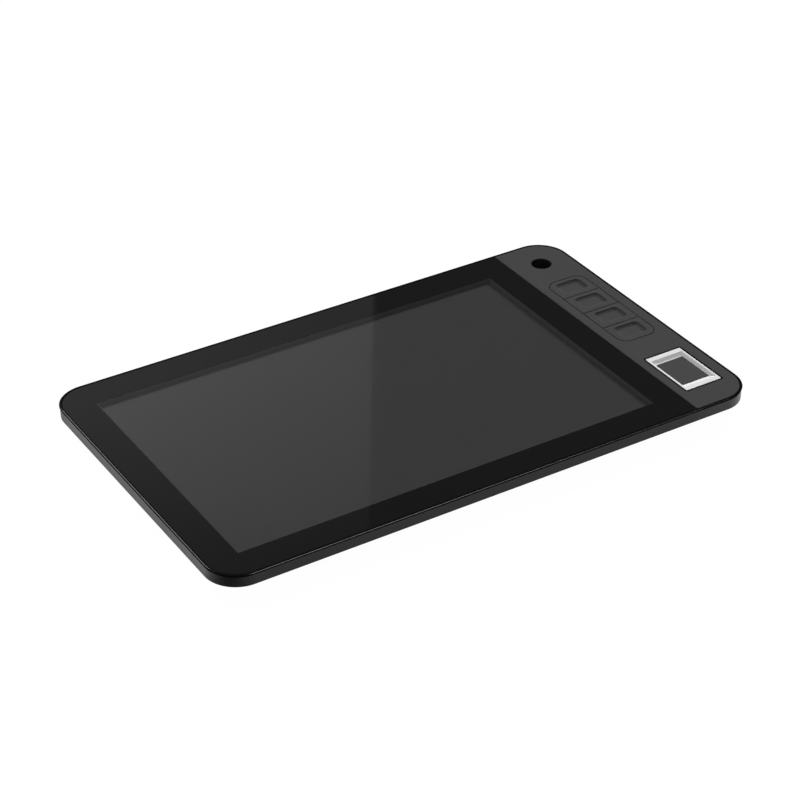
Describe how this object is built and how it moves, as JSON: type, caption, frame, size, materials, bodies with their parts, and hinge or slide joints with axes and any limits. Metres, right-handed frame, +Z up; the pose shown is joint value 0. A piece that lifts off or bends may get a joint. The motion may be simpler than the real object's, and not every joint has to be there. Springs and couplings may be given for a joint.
{
  "type": "signature pad",
  "caption": "Flat counter signature pad: pen display under black bordered glass, with pressing keys, a fingerprint reader and a pen hole in a strip at the right.",
  "frame": {"origin": "centre of the outline in plan, at the level of the feet", "axes": "+X along the long side towards the strip with the keys, +Y towards the far side, +Z up out of the glass"},
  "size_m": [0.2824, 0.17, 0.012],
  "materials": {
    "rim_black": "satin black rim",
    "case_black": "fine textured black",
    "rear_black": "fine textured black",
    "cover_glass": "polished, clear",
    "border_black": "black printed film",
    "tape": "black tape",
    "foam": "dark foam",
    "sheet_steel": "plain sheet",
    "display": "dark display face",
    "white_plastic": "plain",
    "circuit_board": "solder mask",
    "panel_grey": "fine grained dark grey",
    "key_grey": "fine grained dark grey",
    "silver": "satin silver",
    "sensor": "matte sensor coat",
    "socket_black": "matte black",
    "socket_steel": "plain shell",
    "cable_film": "amber film",
    "rubber": "matte black",
    "screw_steel": "blackened steel"
  },
  "bodies": {
    "base": {"rim_ring": "rim_black", "housing": "case_black", "rear_cover": "rear_black", "cover_glass": "cover_glass", "border_film": "border_black", "glass_tape": "tape", "panel_tape": "tape", "dust_seal": "foam", "display_bezel": "sheet_steel", "display_cell": "display", "display_backlight": "white_plastic", "digitizer_board": "circuit_board", "shield_plate": "sheet_steel", "side_panel": "panel_grey", "fingerprint_surround": "silver", "fingerprint_sensor": "sensor", "fingerprint_module": "case_black", "fingerprint_board": "circuit_board", "pen_socket": "socket_black", "main_board": "circuit_board", "processor_shield": "sheet_steel", "data_socket": "socket_steel", "display_cable": "cable_film", "digitizer_cable": "cable_film", "fingerprint_cable": "cable_film", "display_connector": "white_plastic", "digitizer_connector": "white_plastic", "fingerprint_connector": "white_plastic", "switch_body_1": "case_black", "foot_1": "rubber", "board_screw_1": "screw_steel", "switch_body_2": "case_black", "foot_2": "rubber", "board_screw_2": "screw_steel", "switch_body_3": "case_black", "foot_3": "rubber", "board_screw_3": "screw_steel", "switch_body_4": "case_black", "foot_4": "rubber", "board_screw_4": "screw_steel", "case_screw_1": "screw_steel", "case_screw_2": "screw_steel", "case_screw_3": "screw_steel", "case_screw_4": "screw_steel", "case_screw_5": "screw_steel", "case_screw_6": "screw_steel", "case_screw_7": "screw_steel", "case_screw_8": "screw_steel"},
    "key_1": {"key_cap_1": "key_grey", "switch_plunger_1": "white_plastic"},
    "key_2": {"key_cap_2": "key_grey", "switch_plunger_2": "white_plastic"},
    "key_3": {"key_cap_3": "key_grey", "switch_plunger_3": "white_plastic"},
    "key_4": {"key_cap_4": "key_grey", "switch_plunger_4": "white_plastic"}
  },
  "joints": [
    {"name": "key_1_press", "type": "slide", "parent": "base", "child": "key_1", "axis": [0, 0, -1], "range_m": [0, 0.00035], "stiffness_N_per_m": 1500},
    {"name": "key_2_press", "type": "slide", "parent": "base", "child": "key_2", "axis": [0, 0, -1], "range_m": [0, 0.00035], "stiffness_N_per_m": 1500},
    {"name": "key_3_press", "type": "slide", "parent": "base", "child": "key_3", "axis": [0, 0, -1], "range_m": [0, 0.00035], "stiffness_N_per_m": 1500},
    {"name": "key_4_press", "type": "slide", "parent": "base", "child": "key_4", "axis": [0, 0, -1], "range_m": [0, 0.00035], "stiffness_N_per_m": 1500}
  ]
}
